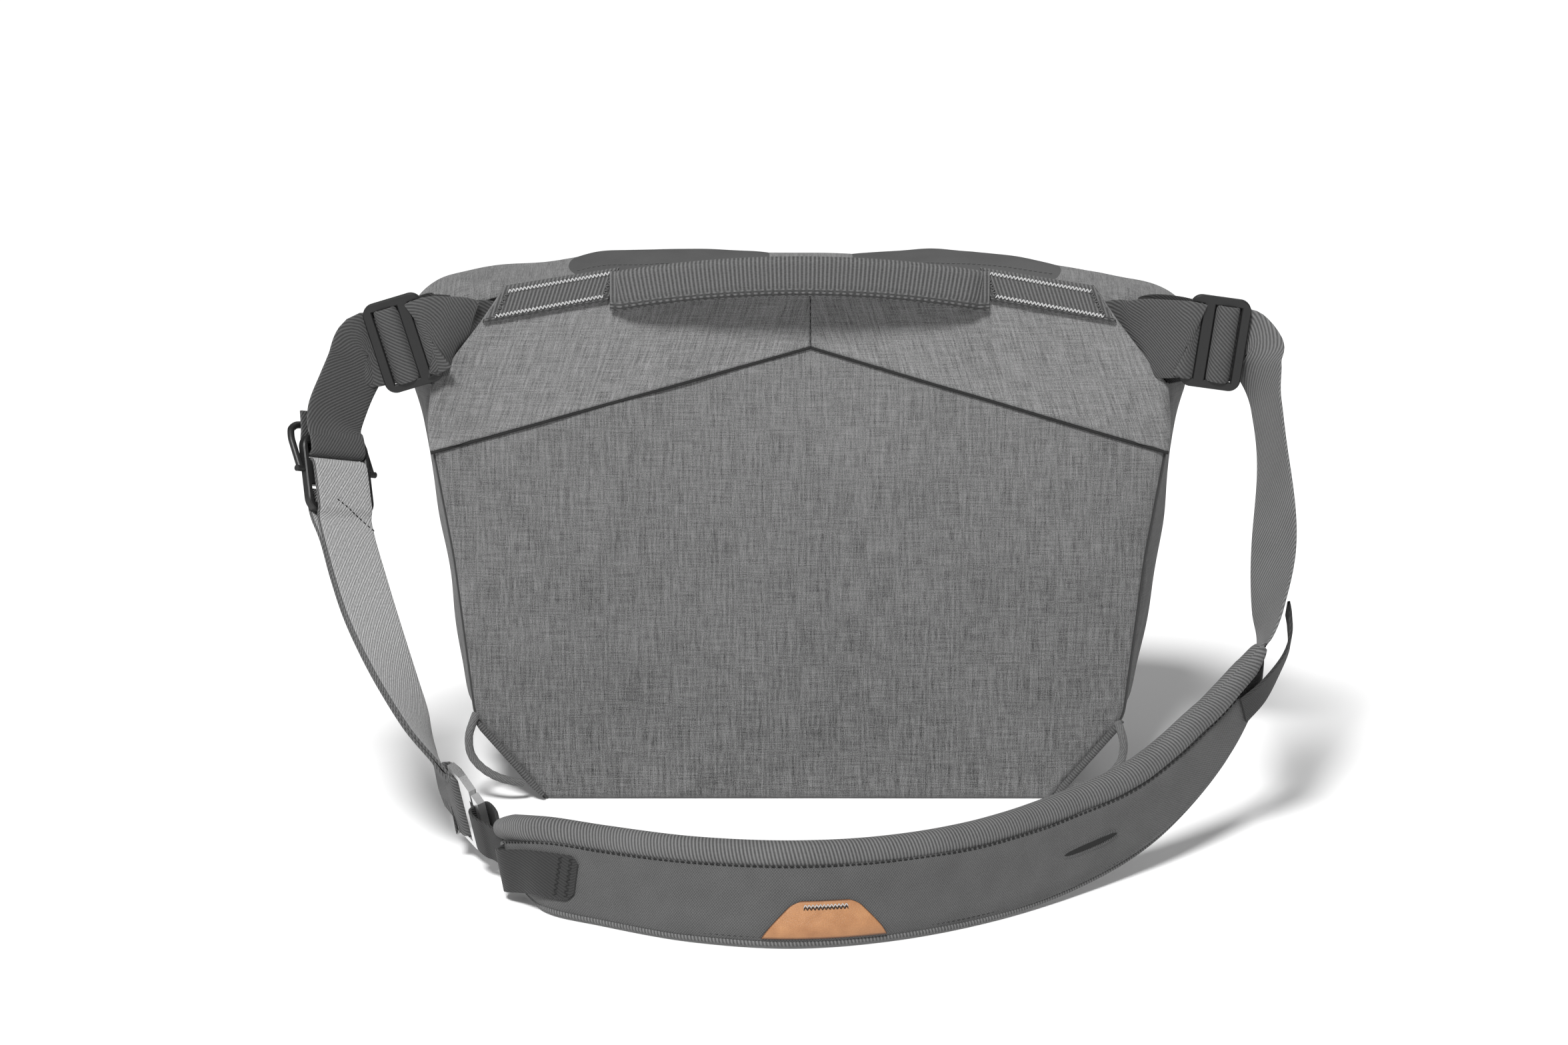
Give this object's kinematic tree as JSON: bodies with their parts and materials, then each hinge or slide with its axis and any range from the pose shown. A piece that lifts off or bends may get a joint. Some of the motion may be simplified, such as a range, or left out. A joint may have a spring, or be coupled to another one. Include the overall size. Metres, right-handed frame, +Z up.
{
  "type": "camera sling bag",
  "caption": "Padded fabric shoulder bag for a camera, with a hinged zipped lid, carry handle, front pocket and a wide padded strap with a hook and length adjuster.",
  "frame": {"origin": "centre of the flat base, on the floor", "axes": "+Z up, -Y towards the wearer's side with the carry handle, +X along the width to the right seen from the wearer's side"},
  "size_m": [0.5171, 0.39, 0.2945],
  "materials": {
    "shell": "heather grey woven polyester",
    "coated": "smooth coated fabric",
    "lining": "brushed knit",
    "divider": "padded brushed knit",
    "foam": "closed-cell foam",
    "webbing": "ribbed grey webbing",
    "webbing_dark": "dark ribbed webbing",
    "pad_mesh": "fine mesh",
    "black_cord": "black tape and cord",
    "tan": "tan leather",
    "black_metal": "black anodised",
    "silver": "satin",
    "zip_metal": "black"
  },
  "bodies": {
    "bag": {"back_panel": "shell", "back_yoke_left": "shell", "back_yoke_right": "shell", "gusset_left": "shell", "gusset_right": "shell", "base_panel": "coated", "front_panel": "shell", "front_pocket": "shell", "foam_left": "foam", "foam_right": "foam", "foam_base": "foam", "foam_back": "foam", "foam_front": "foam", "lining": "lining", "divider_left": "divider", "divider_right": "divider", "pocket_zip_tape_lower": "coated", "pocket_zip_tape_upper": "coated", "pocket_zip_coil": "coated", "handle_patch_left": "webbing_dark", "handle_patch_right": "webbing_dark", "slider_left": "black_metal", "slider_right": "black_metal", "anchor_loop_left": "webbing_dark", "anchor_loop_right": "webbing_dark", "anchor_turn_left": "webbing", "anchor_turn_right": "webbing", "corner_piping_left": "shell", "corner_piping_right": "shell", "cord_loop_left": "black_cord", "cord_loop_right": "black_cord", "main_zip_tape_body": "coated"},
    "lid": {"lid_panel": "shell", "main_zip_tape_lid": "coated"},
    "main_slider": {"main_zip_slider": "zip_metal"},
    "main_pull": {"main_zip_pull": "black_cord"},
    "pocket_slider": {"pocket_zip_slider": "zip_metal"},
    "pocket_pull": {"pocket_zip_pull": "black_cord"},
    "handle": {"handle_grip": "webbing_dark"},
    "strap": {"webbing_upper_left": "webbing", "adjuster_frame": "black_metal", "webbing_lower_inner": "webbing", "webbing_lower_outer": "webbing", "pad_end_loop": "black_cord", "pad_core": "foam", "pad_face": "pad_mesh", "pad_back": "pad_mesh", "pad_top_roll": "shell", "pad_bottom_piping": "black_cord", "pad_tab_left": "black_cord", "pad_tab_right": "black_cord", "leather_tag": "tan", "webbing_right": "webbing"},
    "bail": {"adjuster_bail": "black_metal"},
    "hook": {"hook": "silver"}
  },
  "joints": [
    {"name": "lid_hinge", "type": "hinge", "parent": "bag", "child": "lid", "pos_m": [0, -0.062, 0.282], "axis": [1, 0, 0], "range_deg": [0, 95]},
    {"name": "main_zip_slide", "type": "slide", "parent": "lid", "child": "main_slider", "axis": [1, 0, 0], "range_m": [0, 0.272]},
    {"name": "main_pull_hinge", "type": "hinge", "parent": "main_slider", "child": "main_pull", "pos_m": [-0.136, 0.0503, 0.22802], "axis": [1, 0, 0], "range_deg": [0, 110]},
    {"name": "pocket_zip_slide", "type": "slide", "parent": "bag", "child": "pocket_slider", "axis": [1, 0, 0], "range_m": [0, 0.196]},
    {"name": "pocket_pull_hinge", "type": "hinge", "parent": "pocket_slider", "child": "pocket_pull", "pos_m": [-0.098, 0.05571, 0.17795], "axis": [1, 0, 0], "range_deg": [0, 110]},
    {"name": "handle_lift", "type": "hinge", "parent": "bag", "child": "handle", "pos_m": [0, -0.0707, 0.2835], "axis": [-1, 0, 0], "range_deg": [0, 60]},
    {"name": "strap_swing", "type": "hinge", "parent": "bag", "child": "strap", "pos_m": [0, -0.07, 0.246], "axis": [-1, 0, 0], "range_deg": [0, 135]},
    {"name": "bail_flip", "type": "hinge", "parent": "strap", "child": "bail", "pos_m": [-0.23625, -0.10216, 0.1858], "axis": [-0.6582, -0.7131, 0.2414], "range_deg": [0, 60]},
    {"name": "hook_rock", "type": "hinge", "parent": "strap", "child": "hook", "pos_m": [-0.1705, -0.177, 0.033], "axis": [-0.1608, -0.3665, 0.9164], "range_deg": [-5, 5]}
  ]
}
